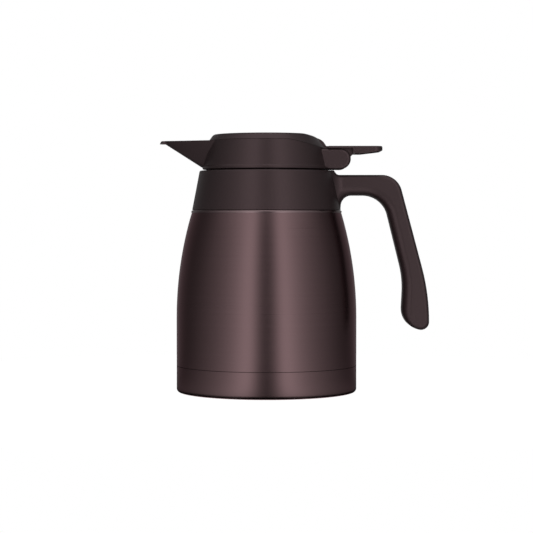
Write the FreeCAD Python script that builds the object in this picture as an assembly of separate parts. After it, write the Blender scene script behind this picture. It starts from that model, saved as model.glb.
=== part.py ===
"""Vacuum jug with a press-lever pouring head, one STEP file per piece, in millimetres.

The origin is on the jug's axis in the plane that it stands on. +Z is up, the spout points along -X, and the
handle and the thumb lever stand out along +X.
"""

import FreeCAD, Part
import math
import os
from FreeCAD import Vector

# General values
overrun = 5.0
least_edge = 1e-6
running_clearance = 0.05
snug_clearance = 0.1
free_clearance = 0.3

# Steel body
body_radius = 75.0
straight_height = 62.0
shoulder_height = 151.5
taper_depth = 12.8
shoulder_round = 1.8
steel_wall = 0.8
band_height = 22.0
seam_gap = 0.4
shoulder_width = 25.4
neck_height = 18.5
neck_fillet = 2.0
vacuum_gap = 3.0
neck_vacuum_gap = 1.2
rim_overhang = 0.8

# Foot and base
foot_inset = 3.0
foot_width = 5.0
foot_round = 3.0
base_recess = 4.0
recess_slope = 2.5
joggle_height = 6.0
joggle_step = 0.8
inner_floor_height = 9.0
inner_floor_round = 12.0
inner_shoulder_drop = 4.0
inner_shoulder_round = 15.0
foil_thickness = 0.2
foil_low_margin = 13.0
foil_top_margin = 25.5
getter_radius = 6.0
getter_height = 3.0
getter_offset = 26.0
plug_flange_radius = 6.0
plug_flange_height = 1.0
plug_radius = 1.9
plug_head = 1.2

# Collar and neck
collar_step = 0.2
collar_height = 32.7
collar_taper = 6.3
collar_wall = 2.8
collar_top_thickness = 3.0
collar_edge_round = 1.3
collar_foot_round = 0.6
throat_spread = 0.2
throat_wall = 3.0
neck_ring_width = 7.2
skirt_wall = 2.5
skirt_rise = 2.0
seal_width = 5.4
seal_height = 2.2

# Handle
handle_width = 24.0
handle_outer_edge_round = 3.2
handle_inner_edge_round = 8.0
handle_drop = 3.6
handle_bar_height = 17.1
handle_reach = 33.7
handle_under_inset = 12.2
handle_lean = 26.4
handle_bend_drop = 99.2
handle_toe_run = 31.0
handle_grip_depth = 21.5
handle_inner_bend_rise = 13.2
handle_toe_depth = 23.4
handle_toe_rise = 5.0
handle_top_round = 17.0
handle_under_round = 21.0
handle_outer_bend_round = 183.0
handle_inner_bend_round = 80.0
handle_toe_outer_round = 7.0
handle_toe_inner_round = 17.5
handle_root_round = 9.0
handle_root_sink = 0.4
handle_saddle_round = 4.0
handle_saddle_run = 2.6
handle_flare_round = 12.0
handle_skin = 3.2
handle_cover_thickness = 2.0
handle_cover_width = 15.0
handle_core_top_drop = 30.6
handle_core_low_rise = 23.6
handle_cover_lip = 3.0
toe_turn_share = 0.2

# Pouring head
head_seam = 1.0
head_inset = 3.1
head_height = 23.7
head_taper = 4.15
head_wall = 2.4
head_floor = 2.2
bead_height = 2.2
bead_depth = 0.7
parting_bend_inset = 29.0
parting_overhang = 1.4
parting_round = 30.0

# Spout
spout_root_inset = 6.2
spout_run = 42.0
spout_drop = 0.1
spout_root_half_width = 24.5
spout_end_half_width = 4.4
spout_root_depth = 29.4
spout_end_depth = 2.6
spout_root_round = 9.0
spout_end_round = 1.3
spout_wall = 2.2
lip_overhang = 0.3
lip_low_radius = 4.3
lip_top_radius = 3.3
lip_depth = 2.6
groove_half_width = 2.0
groove_depth = 1.4
groove_round = 0.6

# Lever, its lugs and its pin
pivot_reach = 8.4
lug_radius = 8.4
lug_gap = 33.4
lug_thickness = 4.8
lug_edge_round = 2.6
lug_root_inset = 3.2
pin_radius = 2.0
pin_blind_skin = 1.6
pin_recess = 0.4
hub_radius = 6.4
lever_side_clearance = 0.3
lever_plate_gap = 0.35
lever_start_gap = 2.0
lever_reach = 34.7
lever_plate = 1.9
lever_end_round = 7.0
lever_edge_round = 1.2
paddle_start_reach = 10.1
paddle_flat_reach = 18.0
paddle_depth = 6.0
paddle_end_depth = 4.0
paddle_wall = 2.0
arm_width = 12.0
arm_drop = 2.3
finger_radius = 2.0
finger_gap = 6.4
fork_depth = 9.0
lever_slot_gap = 0.4
arm_slot_gap = 0.8

# Top cover
cover_flange_inset = 0.8
cover_flange_rise = 0.5
cover_slant = 3.5
cover_slant_rise = 5.3
cover_crown = 0.7
cover_wall = 2.0
cover_edge_round = 1.2
scoop_run = 22.6
scoop_mid_run = 10.2
scoop_mid_drop = 2.9
scoop_end_gap = 0.7
cover_skirt_depth = 3.0
cover_skirt_wall = 1.8

# Stopper
stopper_gap = 1.6
stopper_wall = 2.0
stopper_depth = 22.0
stopper_floor = 2.0
tube_bore = 12.5
tube_wall = 2.0
tube_flange_width = 4.5
tube_flange = 1.6
seat_width = 4.0
seat_height = 2.0
gasket_groove_rise = 10.0
gasket_height = 4.0
gasket_depth = 1.8
gasket_lip = 0.6

# Valve
valve_side_gap = 1.7
valve_gasket_thickness = 1.5
valve_disc_thickness = 2.5
valve_socket_radius = 3.6
valve_socket_height = 4.0
stem_radius = 2.0
stem_seat_depth = 2.0
cap_radius = 6.4
cap_flange = 1.6
cap_dome = 1.8
guide_hub_radius = 4.6
guide_hub_drop = 7.0
guide_flange_width = 4.5
guide_flange = 1.8
guide_arm_width = 3.0
guide_arm_count = 3
spring_radius = 6.2
spring_wire = 0.9
spring_turns = 6

# Places on the steel body that follow from the sizes above
shoulder_z = shoulder_height
shoulder_radius = body_radius - taper_depth
taper_start_z = straight_height
taper_height = shoulder_z - shoulder_round - taper_start_z
taper_radius = (taper_height ** 2 + taper_depth ** 2) / (2 * taper_depth)
taper_centre_x = body_radius - taper_radius
neck_radius = shoulder_radius - shoulder_width
rim_z = shoulder_z + neck_height
rim_top_z = rim_z + steel_wall
rim_radius = neck_radius + rim_overhang
foot_radius = body_radius - foot_inset
inner_offset = steel_wall + vacuum_gap
inner_floor_z = inner_floor_height
inner_shoulder_z = shoulder_z - inner_shoulder_drop
inner_neck_radius = neck_radius - steel_wall - neck_vacuum_gap
mouth_radius = inner_neck_radius - steel_wall
foil_low_z = inner_floor_z + foil_low_margin
foil_high_z = shoulder_z - foil_top_margin

# Places on the collar and the handle
collar_low_radius = shoulder_radius - collar_step
collar_top_radius = collar_low_radius - collar_taper
collar_top_z = shoulder_z + collar_height
collar_under_z = collar_top_z - collar_top_thickness
throat_radius = neck_radius + throat_spread
throat_outer_radius = throat_radius + throat_wall
throat_low_z = rim_top_z + seal_height
neck_ring_radius = neck_radius + neck_ring_width
skirt_bore = neck_ring_radius + free_clearance
handle_top_z = collar_top_z - handle_drop
handle_under_z = handle_top_z - handle_bar_height
handle_root_x = collar_low_radius - handle_root_sink
handle_top_reach = body_radius + handle_reach
handle_under_reach = handle_top_reach - handle_under_inset
handle_bend_x = handle_top_reach + handle_lean
handle_bend_z = handle_top_z - handle_bend_drop
handle_inner_bend_x = handle_bend_x - handle_grip_depth
handle_inner_bend_z = handle_bend_z + handle_inner_bend_rise
handle_toe_outer_z = handle_bend_z - handle_toe_run
handle_toe_inner_x = handle_bend_x - handle_toe_depth
handle_toe_inner_z = handle_toe_outer_z + handle_toe_rise
handle_core_top_z = handle_top_z - handle_core_top_drop
handle_core_low_z = handle_toe_outer_z + handle_core_low_rise

# Places on the pouring head, its spout and its cover
head_bottom_z = collar_top_z + head_seam
head_floor_top_z = head_bottom_z + head_floor
head_top_z = head_bottom_z + head_height
head_low_radius = collar_top_radius - head_inset
head_top_radius = head_low_radius - head_taper
head_inner_top_radius = head_top_radius - head_wall
parting_bend_x = head_top_radius - parting_bend_inset
parting_low_x = head_top_radius + parting_overhang
spout_root_x = head_top_radius - spout_root_inset
spout_end_x = spout_root_x + spout_run
spout_top_z = head_top_z - spout_drop
spout_root_low_z = spout_top_z - spout_root_depth
spout_end_low_z = spout_top_z - spout_end_depth
lip_x = spout_end_x + lip_overhang
lip_low_z = spout_top_z - lip_depth
cover_flange_radius = head_top_radius - cover_flange_inset
cover_shoulder_radius = cover_flange_radius - cover_slant
cover_shoulder_z = head_top_z + cover_slant_rise
cover_top_z = cover_shoulder_z + cover_crown

# Places on the lever
pivot_x = head_low_radius + pivot_reach
pivot_z = head_bottom_z + lug_radius
parting_low_z = pivot_z + lug_radius
lug_root_x = head_top_radius - lug_root_inset
lug_inner_y = lug_gap / 2
lug_outer_y = lug_inner_y + lug_thickness
lever_half_width = lug_inner_y - lever_side_clearance
lever_top_z = pivot_z + lug_radius + lever_plate_gap + lever_plate
lever_top_start_x = head_top_radius + lever_start_gap
lever_end_x = pivot_x + lever_reach
paddle_start_x = pivot_x + paddle_start_reach
paddle_flat_end_x = pivot_x + paddle_flat_reach
paddle_low_z = lever_top_z - paddle_depth
paddle_end_low_z = lever_top_z - paddle_end_depth
arm_low_z = pivot_z - arm_drop
lever_slot_low_z = arm_low_z - finger_radius - lever_slot_gap
scoop_start_x = parting_low_x - scoop_run
scoop_mid_x = parting_low_x - scoop_mid_run
scoop_mid_z = cover_top_z - scoop_mid_drop
scoop_end_z = lever_top_z + scoop_end_gap

# Places on the stopper and the valve
stopper_radius = mouth_radius - stopper_gap
stopper_upper_radius = throat_radius - free_clearance
stopper_floor_z = rim_z - stopper_depth
gasket_groove_z = stopper_floor_z + gasket_groove_rise
tube_outer_radius = tube_bore + tube_wall
tube_flange_radius = tube_outer_radius + tube_flange_width
seat_bore = tube_bore - seat_width
seat_z = stopper_floor_z + seat_height
valve_radius = tube_bore - valve_side_gap
valve_disc_z = seat_z + valve_gasket_thickness
valve_top_z = valve_disc_z + valve_disc_thickness
cap_under_z = pivot_z + finger_radius + free_clearance
guide_under_z = head_floor_top_z - guide_hub_drop
guide_flange_radius = tube_bore + guide_flange_width


workshop = FreeCAD.newDocument("workshop")


def at(x, z):
    """A point in the plane through spout and handle."""
    return Vector(x, 0, z)


def rounded_wire(corners, place):
    """A closed wire through corners of (u, v, radius), each one rounded by an arc tangent to both sides.

    place turns (u, v) into a point in space. Two roundings that need more than the side between them are
    both made smaller, in proportion, until they fit on it.
    """
    count = len(corners)
    points = [Vector(u, v, 0) for u, v, _ in corners]
    backs, aheads, halves, reaches = [], [], [], []
    for i in range(count):
        back = (points[i - 1] - points[i]).normalize()
        ahead = (points[(i + 1) % count] - points[i]).normalize()
        half = back.getAngle(ahead) / 2
        backs.append(back)
        aheads.append(ahead)
        halves.append(half)
        reaches.append(corners[i][2] / math.tan(half))
    fits = []
    for i in range(count):
        side = points[i].distanceToPoint(points[(i + 1) % count])
        needed = reaches[i] + reaches[(i + 1) % count]
        fits.append(min(1, side / needed) if needed > 0 else 1)
    starts, ends, mids = [], [], []
    for i in range(count):
        fit = min(fits[i - 1], fits[i])
        radius = corners[i][2] * fit
        starts.append(points[i] + backs[i] * reaches[i] * fit)
        ends.append(points[i] + aheads[i] * reaches[i] * fit)
        to_centre = (backs[i] + aheads[i]).normalize() if radius > 0 else Vector()
        mids.append(points[i] + to_centre * (radius / math.sin(halves[i]) - radius))
    edges = []
    for i in range(count):
        if starts[i].distanceToPoint(ends[i]) > 0:
            arc = Part.Arc(*[place(p.x, p.y) for p in (starts[i], mids[i], ends[i])])
            edges.append(arc.toShape())
        line_from, line_to = ends[i], starts[(i + 1) % count]
        if line_from.distanceToPoint(line_to) > least_edge:
            side = Part.LineSegment(place(line_from.x, line_from.y), place(line_to.x, line_to.y))
            edges.append(side.toShape())
    return Part.Wire(edges)


def turned(corners):
    """A solid of revolution about the jug's axis from corners of (radius, height, rounding)."""
    return Part.Face(rounded_wire(corners, at)).revolve(Vector(), Vector(0, 0, 1), 360)


def ring(bore, radius, low_z, high_z):
    """A plain ring about the jug's axis."""
    return turned([(bore, low_z, 0), (radius, low_z, 0), (radius, high_z, 0), (bore, high_z, 0)])


def disc(radius, low_z, high_z, x=0):
    """A plain disc standing on low_z, its axis at x."""
    return Part.makeCylinder(radius, high_z - low_z, at(x, low_z))


def side_prism(wire, low_y, high_y):
    """A wire drawn in the XZ plane at Y = 0, filled and pulled along Y from low_y to high_y."""
    face = Part.Face(wire)
    face.translate(Vector(0, low_y, 0))
    return face.extrude(Vector(0, high_y - low_y, 0))


def side_shape(corners, low_y, high_y):
    """A prism along Y with the outline corners of (x, z, rounding)."""
    return side_prism(rounded_wire(corners, at), low_y, high_y)


def block(low_x, high_x, low_y, high_y, low_z, high_z):
    """A box between two values on each axis."""
    return Part.makeBox(high_x - low_x, high_y - low_y, high_z - low_z, Vector(low_x, low_y, low_z))


def cross_pin(radius, x, z, low_y, high_y):
    """A cylinder along Y."""
    return Part.makeCylinder(radius, high_y - low_y, Vector(x, low_y, z), Vector(0, 1, 0))


def rounded_edges(shape, roundings):
    """A shape with some edges rounded, each given as (its number, the radius at its start, at its end)."""
    base = workshop.addObject("Part::Feature", "base")
    base.Shape = shape
    fillet = workshop.addObject("Part::Fillet", "fillet")
    fillet.Base = base
    fillet.Edges = roundings
    workshop.recompute()
    return fillet.Shape


def save(name, shape):
    """Writes one piece, cleaned of leftover splits, to its own file."""
    shape.removeSplitter().exportStep("parts/" + name + ".step")


def vessel(offset, floor_z, floor_round, top_z, top_round, neck, end_z):
    """The solid inside the body's form moved inwards by offset: floor, side, taper, shoulder and neck."""
    radius = body_radius - offset
    arc_radius = taper_radius - offset
    rise = math.asin((top_z - top_round - taper_start_z) / (arc_radius - top_round))
    taper_centre = at(taper_centre_x, taper_start_z)

    def on_taper(angle, reach):
        return taper_centre + at(math.cos(angle), math.sin(angle)) * reach

    taper_end = on_taper(rise, arc_radius)
    top_centre = on_taper(rise, arc_radius - top_round)
    top_mid_angle = (rise + math.pi / 2) / 2
    top_mid = top_centre + at(math.cos(top_mid_angle), math.sin(top_mid_angle)) * top_round
    top_end = top_centre + at(0, top_round)
    corner_centre = at(radius - floor_round, floor_z + floor_round)
    corner_mid = corner_centre + at(math.sin(math.pi / 4), -math.cos(math.pi / 4)) * floor_round
    fillet_centre = at(neck + neck_fillet, top_z + neck_fillet)
    fillet_mid = fillet_centre - at(math.cos(math.pi / 4), math.sin(math.pi / 4)) * neck_fillet
    path = [
        ("line", at(0, floor_z), None, at(radius - floor_round, floor_z)),
        ("arc", at(radius - floor_round, floor_z), corner_mid, at(radius, floor_z + floor_round)),
        ("line", at(radius, floor_z + floor_round), None, at(radius, taper_start_z)),
        ("arc", at(radius, taper_start_z), on_taper(rise / 2, arc_radius), taper_end),
        ("arc", taper_end, top_mid, top_end),
        ("line", top_end, None, at(neck + neck_fillet, top_z)),
        ("arc", at(neck + neck_fillet, top_z), fillet_mid, at(neck, top_z + neck_fillet)),
        ("line", at(neck, top_z + neck_fillet), None, at(neck, end_z)),
        ("line", at(neck, end_z), None, at(0, end_z)),
        ("line", at(0, end_z), None, at(0, floor_z)),
    ]
    edges = []
    for kind, start, middle, end in path:
        curve = Part.Arc(start, middle, end) if kind == "arc" else Part.LineSegment(start, end)
        edges.append(curve.toShape())
    return Part.Face(Part.Wire(edges)).revolve(Vector(), Vector(0, 0, 1), 360)


def outer_shell():
    """The outer steel wall: straight below, drawn in above, with a rolled shoulder and the outer neck."""
    outside = vessel(0, 0, foot_round, shoulder_z, shoulder_round, neck_radius, rim_z)
    inside = vessel(steel_wall, 0, foot_round, shoulder_z - steel_wall, shoulder_round - steel_wall,
                    neck_radius - steel_wall, rim_z + overrun)
    below_seam = disc(body_radius + overrun, -overrun, band_height + seam_gap)
    return outside.cut(inside).cut(below_seam)


def base_cup():
    """The bottom band with its foot ring and recessed base, stepped at the top to slide inside the shell."""
    inner = body_radius - steel_wall
    step = inner - snug_clearance
    step_inner = step - steel_wall
    foot_inner = foot_radius - foot_width
    recess_radius = foot_inner - recess_slope
    outside = turned([
        (0, base_recess, 0),
        (recess_radius, base_recess, steel_wall),
        (foot_inner, 0, steel_wall),
        (body_radius, 0, foot_round),
        (body_radius, band_height, 0),
        (step, band_height, 0),
        (step, band_height + joggle_height, 0),
        (0, band_height + joggle_height, 0),
    ])
    inside = turned([
        (0, base_recess + steel_wall, 0),
        (recess_radius + steel_wall / 2, base_recess + steel_wall, 0),
        (foot_inner + steel_wall / 2, steel_wall, 0),
        (inner, steel_wall, foot_round - steel_wall),
        (inner, band_height - 2 * joggle_step, 0),
        (step_inner, band_height - joggle_step, 0),
        (step_inner, band_height + joggle_height + overrun, 0),
        (0, band_height + joggle_height + overrun, 0),
    ])
    pump_hole = disc(plug_radius, 0, base_recess + steel_wall + overrun)
    return outside.cut(inside).cut(pump_hole)


def vacuum_seal_plug():
    """The sealing plug of the pumping hole, below the recessed base."""
    flange = disc(plug_flange_radius, base_recess - plug_flange_height, base_recess)
    shank = disc(plug_radius, base_recess, base_recess + steel_wall)
    head = disc(plug_radius, base_recess + steel_wall, base_recess + steel_wall + plug_head)
    return flange.fuse([shank, head])


def getter():
    """The gas getter, a pill on the base inside the vacuum."""
    low_z = base_recess + steel_wall
    return disc(getter_radius, low_z, low_z + getter_height, getter_offset)


def inner_vessel():
    """The inner steel bottle, whose flanged rim lies on the outer neck."""
    outside = vessel(inner_offset, inner_floor_z, inner_floor_round, inner_shoulder_z, inner_shoulder_round,
                     inner_neck_radius, rim_top_z)
    flange = ring(mouth_radius, rim_radius, rim_z, rim_top_z)
    inside = vessel(inner_offset + steel_wall, inner_floor_z + steel_wall, inner_floor_round - steel_wall,
                    inner_shoulder_z - steel_wall, inner_shoulder_round - steel_wall, mouth_radius,
                    rim_top_z + overrun)
    return outside.fuse(flange).cut(inside)


def radiation_foil():
    """The foil wrapped round the side of the inner bottle."""
    def skin(offset):
        return vessel(offset, inner_floor_z, inner_floor_round, inner_shoulder_z, inner_shoulder_round,
                      inner_neck_radius, rim_z)

    inner_face = inner_offset - snug_clearance
    wrap = skin(inner_face - foil_thickness).cut(skin(inner_face))
    return wrap.common(disc(body_radius, foil_low_z, foil_high_z))


def neck_ring():
    """The ring clamped on the steel neck, which the collar is screwed to, bevelled over the neck's root."""
    bore = neck_radius + snug_clearance
    return turned([
        (bore, shoulder_z + neck_fillet, 0),
        (bore + neck_fillet, shoulder_z, 0),
        (neck_ring_radius, shoulder_z, 0),
        (neck_ring_radius, rim_z, 0),
        (bore, rim_z, 0),
    ])


def neck_seal():
    """The silicone ring between the steel rim and the collar's throat."""
    bore = mouth_radius + free_clearance
    return ring(bore, bore + seal_width, rim_top_z, throat_low_z)


def handle_outline():
    """The side outline of the handle, from inside the collar out to the free lower end."""
    inside_collar = collar_top_radius - collar_wall
    return rounded_wire([
        (inside_collar, collar_top_z, 0),
        (collar_top_radius, collar_top_z, 0),
        (collar_top_radius + handle_saddle_run, handle_top_z, handle_saddle_round),
        (handle_top_reach, handle_top_z, handle_top_round),
        (handle_bend_x, handle_bend_z, handle_outer_bend_round),
        (handle_bend_x, handle_toe_outer_z, handle_toe_outer_round),
        (handle_toe_inner_x, handle_toe_inner_z, handle_toe_inner_round),
        (handle_inner_bend_x, handle_inner_bend_z, handle_inner_bend_round),
        (handle_under_reach, handle_under_z, handle_under_round),
        (handle_root_x, handle_under_z, handle_root_round),
        (handle_root_x, shoulder_z + skirt_rise, 0),
        (inside_collar, shoulder_z + skirt_rise, 0),
    ], at)


def handle_bar():
    """The solid handle: its side outline, flared in plan at the collar, with rounded edges."""
    half = handle_width / 2
    root_circle = collar_top_radius + free_clearance
    flare_reach = root_circle + handle_flare_round
    outline = side_prism(handle_outline(), -flare_reach, flare_reach)
    height = collar_top_z + overrun
    plan = disc(root_circle, 0, height).fuse(block(0, handle_bend_x + overrun, -half, half, 0, height))
    corner_x = math.sqrt(root_circle ** 2 - half ** 2)
    corners = []
    for edge in plan.Edges:
        box = edge.BoundBox
        if box.ZLength > handle_top_z and abs(box.XMin - corner_x) < snug_clearance:
            corners.append(edge)
    bar = outline.common(plan.makeFillet(handle_flare_round, corners))
    roundings = []
    for number, edge in enumerate(bar.Edges, start=1):
        if is_handle_side_edge(edge.BoundBox, half, root_circle):
            roundings.append((number, *handle_edge_radii(edge)))
    return rounded_edges(bar, roundings)


def handle_edge_radii(edge):
    """The radii at both ends of a side edge: firm on the handle's back, soft where the fingers close."""
    back = Part.makePolygon([
        at(collar_top_radius, handle_top_z),
        at(handle_top_reach, handle_top_z),
        at(handle_bend_x, handle_bend_z),
        at(handle_bend_x, handle_toe_outer_z),
    ])
    front = Part.makePolygon([
        at(handle_root_x, shoulder_z),
        at(handle_root_x, handle_under_z),
        at(handle_under_reach, handle_under_z),
        at(handle_inner_bend_x, handle_inner_bend_z),
        at(handle_toe_inner_x, handle_toe_inner_z),
    ])

    def front_share(parameter):
        point = edge.valueAt(parameter)
        spot = Part.Vertex(at(point.x, point.z))
        to_back = spot.distToShape(back)[0]
        to_front = spot.distToShape(front)[0]
        return to_back / (to_back + to_front)

    first, last = edge.ParameterRange
    middle_share = front_share((first + last) / 2)
    if abs(middle_share - 0.5) > toe_turn_share:
        radius = handle_inner_edge_round if middle_share > 0.5 else handle_outer_edge_round
        return radius, radius
    if front_share(first) > front_share(last):
        return handle_inner_edge_round, handle_outer_edge_round
    return handle_outer_edge_round, handle_inner_edge_round


def is_handle_side_edge(box, half, root_circle):
    """Whether an edge with this box runs along the handle's sides, outside the collar."""
    side_y = min(abs(box.YMin), abs(box.YMax))
    crosses = box.YMin * box.YMax < 0 or side_y < half - snug_clearance
    on_ledge = box.XMax < collar_top_radius + snug_clearance and box.ZMin > handle_top_z
    upright = max(box.XLength, box.YLength) < snug_clearance
    root_reach = handle_root_x + handle_inner_edge_round
    under_root = box.ZMax < handle_under_z - handle_root_round and box.XMax < root_reach
    inside = math.hypot(box.XMax, side_y) < root_circle + snug_clearance
    return not (crosses or on_ledge or upright or under_root or inside)


def handle_core(side_clearance):
    """The cored space of the handle as (hollow, slot of the cover strip), open on its inner face."""
    outline = handle_outline()
    hollow_wire = outline.makeOffset2D(-handle_skin)
    strip_wire = outline.makeOffset2D(-handle_cover_thickness)
    half = handle_cover_width / 2
    lip = half - handle_cover_lip
    reach = handle_bend_x + overrun
    inner_x = handle_under_reach - handle_skin
    window = block(inner_x, reach, -half, half, handle_core_low_z, handle_core_top_z)
    hollow = side_prism(hollow_wire, -lip, lip).common(window)
    inner_side = side_shape([
        (handle_root_x, handle_core_low_z - overrun, 0),
        (handle_bend_x - handle_skin, handle_core_low_z - overrun, 0),
        (handle_inner_bend_x + handle_skin, handle_inner_bend_z, 0),
        (handle_under_reach + handle_skin, handle_under_z, 0),
        (handle_root_x, handle_under_z, 0),
    ], -half, half)
    rim = side_prism(outline, -half, half).cut(side_prism(strip_wire, -half - overrun, half + overrun))
    grow = handle_cover_lip
    strip_half = half - side_clearance
    strip_low_z = handle_core_low_z - grow + side_clearance
    strip_top_z = handle_core_top_z + grow - side_clearance
    strip_window = block(handle_root_x, reach, -strip_half, strip_half, strip_low_z, strip_top_z)
    strip = rim.common(inner_side).common(strip_window)
    return hollow, strip


def collar_and_handle():
    """The collar with its throat and inner skirt, and the open handle that is moulded with it."""
    collar_low_inner = collar_low_radius - collar_wall
    collar_high_inner = collar_top_radius - collar_wall
    collar = turned([
        (collar_low_inner, shoulder_z, 0),
        (collar_low_radius, shoulder_z, collar_foot_round),
        (collar_top_radius, collar_top_z, collar_edge_round),
        (throat_radius, collar_top_z, collar_foot_round),
        (throat_radius, throat_low_z, 0),
        (throat_outer_radius, throat_low_z, 0),
        (throat_outer_radius, collar_under_z, 0),
        (skirt_bore, collar_under_z, 0),
        (skirt_bore, shoulder_z + skirt_rise, 0),
        (skirt_bore + skirt_wall, shoulder_z + skirt_rise, 0),
        (skirt_bore + skirt_wall, collar_under_z, 0),
        (collar_high_inner, collar_under_z, 0),
    ])
    inside = turned([
        (0, shoulder_z - overrun, 0),
        (collar_low_inner, shoulder_z - overrun, 0),
        (collar_low_inner, shoulder_z, 0),
        (collar_high_inner, collar_under_z, 0),
        (0, collar_under_z, 0),
    ])
    hollow, strip = handle_core(0)
    handle = handle_bar().cut(inside).cut(hollow).cut(strip)
    above = disc(collar_top_radius, collar_top_z, collar_top_z + overrun)
    return collar.fuse(handle.cut(above))


def handle_inner_cover():
    """The strip that closes the cored side of the handle and follows its rounded form."""
    return handle_core(snug_clearance)[1].common(handle_bar())


def stopper_gasket():
    """The ring gasket round the stopper, with a lip at its upper edge."""
    bore = stopper_radius - gasket_depth + snug_clearance
    outer = mouth_radius - free_clearance
    low = gasket_groove_z + snug_clearance
    high = gasket_groove_z + gasket_height - snug_clearance
    return turned([
        (bore, low, 0),
        (outer - gasket_lip, low, 0),
        (outer, high - gasket_lip, 0),
        (outer, high, 0),
        (bore, high, 0),
    ])


def stopper_cup():
    """The stopper's outer cup, wide in the collar's throat and narrow in the steel neck."""
    step_z = throat_low_z
    upper_inner = stopper_upper_radius - stopper_wall
    lower_inner = stopper_radius - gasket_depth - stopper_wall
    cup = turned([
        (tube_outer_radius + snug_clearance, stopper_floor_z, 0),
        (stopper_radius, stopper_floor_z, stopper_wall),
        (stopper_radius, step_z, 0),
        (stopper_upper_radius, step_z, 0),
        (stopper_upper_radius, head_bottom_z, 0),
        (upper_inner, head_bottom_z, 0),
        (upper_inner, step_z + stopper_wall, 0),
        (lower_inner, step_z + stopper_wall, 0),
        (lower_inner, stopper_floor_z + stopper_floor, 0),
        (tube_outer_radius + snug_clearance, stopper_floor_z + stopper_floor, 0),
    ])
    groove = ring(stopper_radius - gasket_depth, stopper_radius + overrun, gasket_groove_z,
                  gasket_groove_z + gasket_height)
    return cup.cut(groove)


def pour_tube():
    """The tube through the stopper, with the valve seat at its foot and a flange below the cup."""
    low = stopper_floor_z - tube_flange
    return turned([
        (seat_bore, low, 0),
        (tube_flange_radius, low, 0),
        (tube_flange_radius, stopper_floor_z, 0),
        (tube_outer_radius, stopper_floor_z, 0),
        (tube_outer_radius, head_floor_top_z, 0),
        (tube_bore, head_floor_top_z, 0),
        (tube_bore, seat_z, 0),
        (seat_bore, seat_z, 0),
    ])


def stopper_foam():
    """The insulation between the cup and the tube."""
    outer = stopper_radius - gasket_depth - stopper_wall - free_clearance
    return ring(tube_outer_radius + free_clearance, outer, stopper_floor_z + stopper_floor, head_bottom_z)


def stem_guide():
    """The spider on the head's floor that guides the stem and holds the top of the spring."""
    high = head_floor_top_z + guide_flange
    flange = ring(tube_bore - guide_flange, guide_flange_radius, head_floor_top_z, high)
    hub = disc(guide_hub_radius, guide_under_z, high)
    arm = block(0, tube_bore, -guide_arm_width / 2, guide_arm_width / 2, head_floor_top_z, high)
    arms = []
    for i in range(guide_arm_count):
        one = arm.copy()
        one.rotate(Vector(), Vector(0, 0, 1), 180 + i * 360 / guide_arm_count)
        arms.append(one)
    bore = disc(stem_radius + running_clearance, guide_under_z - overrun, high + overrun)
    return hub.fuse(arms + [flange]).cut(bore)


def valve_gasket():
    """The flat gasket between the valve disc and its seat."""
    return ring(seat_bore - valve_gasket_thickness, valve_radius, seat_z, valve_disc_z)


def valve_poppet():
    """The valve disc with the socket of the stem and a spigot through its gasket."""
    plate = disc(valve_radius, valve_disc_z, valve_top_z)
    socket = disc(valve_socket_radius, valve_top_z, valve_top_z + valve_socket_height)
    spigot_radius = seat_bore - valve_gasket_thickness - snug_clearance
    spigot = disc(spigot_radius, seat_z - valve_gasket_thickness, valve_disc_z)
    hole = disc(stem_radius, valve_top_z - stem_seat_depth, valve_top_z + valve_socket_height + overrun)
    return plate.fuse([socket, spigot]).cut(hole)


def valve_stem():
    """The rod from the valve disc up to the cap."""
    return disc(stem_radius, valve_top_z - stem_seat_depth, cap_under_z + cap_flange)


def stem_cap():
    """The cap on the stem, whose flange the lever's fingers lift."""
    flange = disc(cap_radius, cap_under_z, cap_under_z + cap_flange)
    dome_z = cap_under_z + cap_flange
    dome = turned([
        (0, dome_z, 0),
        (cap_radius - cap_dome / 2, dome_z, 0),
        (cap_radius - cap_dome, dome_z + cap_dome, cap_dome / 2),
        (0, dome_z + cap_dome, 0),
    ])
    hole = disc(stem_radius, cap_under_z - overrun, dome_z)
    return flange.fuse(dome).cut(hole)


def valve_spring():
    """The return spring round the stem, a wire wound as half turns between the disc and the guide."""
    low = valve_top_z + spring_wire / 2
    pitch = (guide_under_z - valve_top_z - spring_wire) / spring_turns
    steps = spring_turns * 4
    slope = math.atan2(pitch, 2 * math.pi * spring_radius)

    def point(i):
        angle = i * math.pi / 2
        around = Vector(math.cos(angle), math.sin(angle), 0)
        return around * spring_radius + Vector(0, 0, low + pitch * i / 4)

    def heading(i):
        angle = i * math.pi / 2
        return Vector(-math.sin(angle), math.cos(angle), math.tan(slope)).normalize()

    def arc(start, control, end):
        middle = (start + end) / 2
        depth = control.distanceToPoint(middle)
        half = start.distanceToPoint(middle)
        bow = half * math.tan(math.atan2(depth, half) / 2)
        return Part.Arc(start, middle + (control - middle).normalize() * bow, end).toShape()

    edges = []
    for i in range(steps):
        start, end, out, back = point(i), point(i + 1), heading(i), heading(i + 1)
        chord = end - start
        turn = out + back
        a, b, c = turn.dot(turn) - 4, -2 * chord.dot(turn), chord.dot(chord)
        reach = (-b - math.sqrt(b * b - 4 * a * c)) / (2 * a)
        first, second = start + out * reach, end - back * reach
        joint = (first + second) / 2
        edges.append(arc(start, first, joint))
        edges.append(arc(joint, second, end))
    path = Part.Wire(edges)
    profile = Part.Wire(Part.Circle(point(0), heading(0), spring_wire / 2).toShape())
    return path.makePipeShell([profile], True)


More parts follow.
